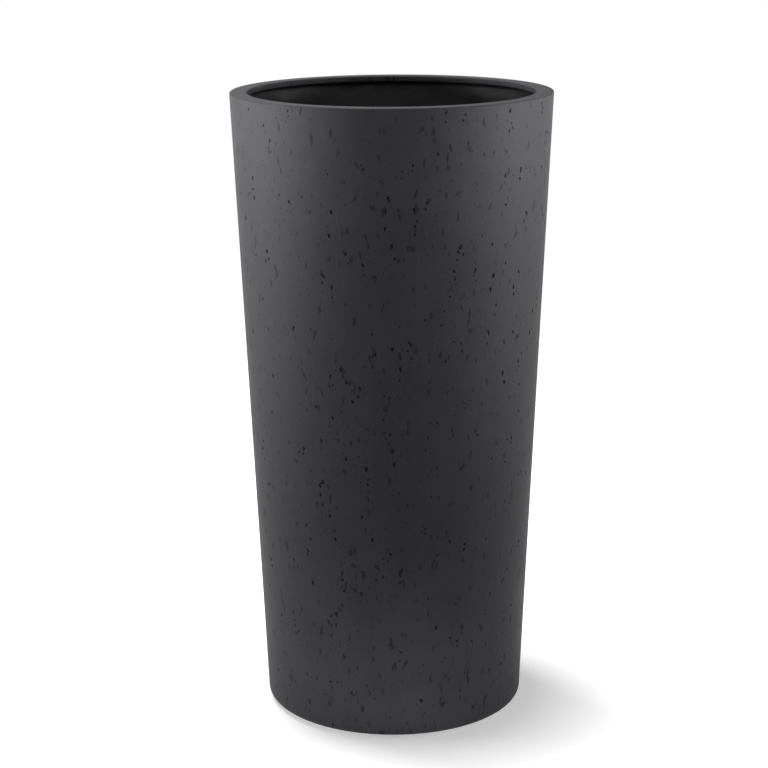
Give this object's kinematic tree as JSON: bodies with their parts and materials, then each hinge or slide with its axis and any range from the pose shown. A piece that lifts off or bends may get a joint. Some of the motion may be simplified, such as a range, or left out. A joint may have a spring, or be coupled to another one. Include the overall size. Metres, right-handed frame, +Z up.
{
  "type": "tall round planter",
  "caption": "Tall tapered round floor planter with a flat turned-in rim, a drain with its plug, rubber feet and a lift-out perforated planting shelf on cleats inside.",
  "frame": {"origin": "on the floor at the middle of the base", "axes": "+Z up along the planter's own axis; +X through the shelf's two finger holes; -Y towards the viewer"},
  "size_m": [0.4048, 0.4048, 0.8],
  "materials": {
    "concrete_facing": "dark anthracite cement and sand facing, pitted, satin",
    "black_laminate": "black glass fibre laid up in polyester, lumpy and glossy",
    "plug_rubber": "matt black moulded rubber",
    "foot_rubber": "matt black moulded rubber",
    "shelf_plastic": "dark grey injection moulded polypropylene, fine grained"
  },
  "bodies": {
    "shell": {"facing_shell": "concrete_facing", "laminate_shell": "black_laminate", "foot_pad_1": "foot_rubber", "foot_pad_2": "foot_rubber", "foot_pad_3": "foot_rubber", "foot_pad_4": "foot_rubber", "shelf_cleat_1": "black_laminate", "shelf_cleat_2": "black_laminate", "shelf_cleat_3": "black_laminate", "shelf_cleat_4": "black_laminate"},
    "plug": {"drain_plug": "plug_rubber"},
    "shelf": {"planting_shelf": "shelf_plastic"}
  },
  "joints": [
    {"name": "plug_lift", "type": "slide", "parent": "shell", "child": "plug", "axis": [0, 0, 1], "range_m": [0, 0.06]},
    {"name": "shelf_lift", "type": "slide", "parent": "shell", "child": "shelf", "axis": [0, 0, 1], "range_m": [0, 0.34]}
  ]
}
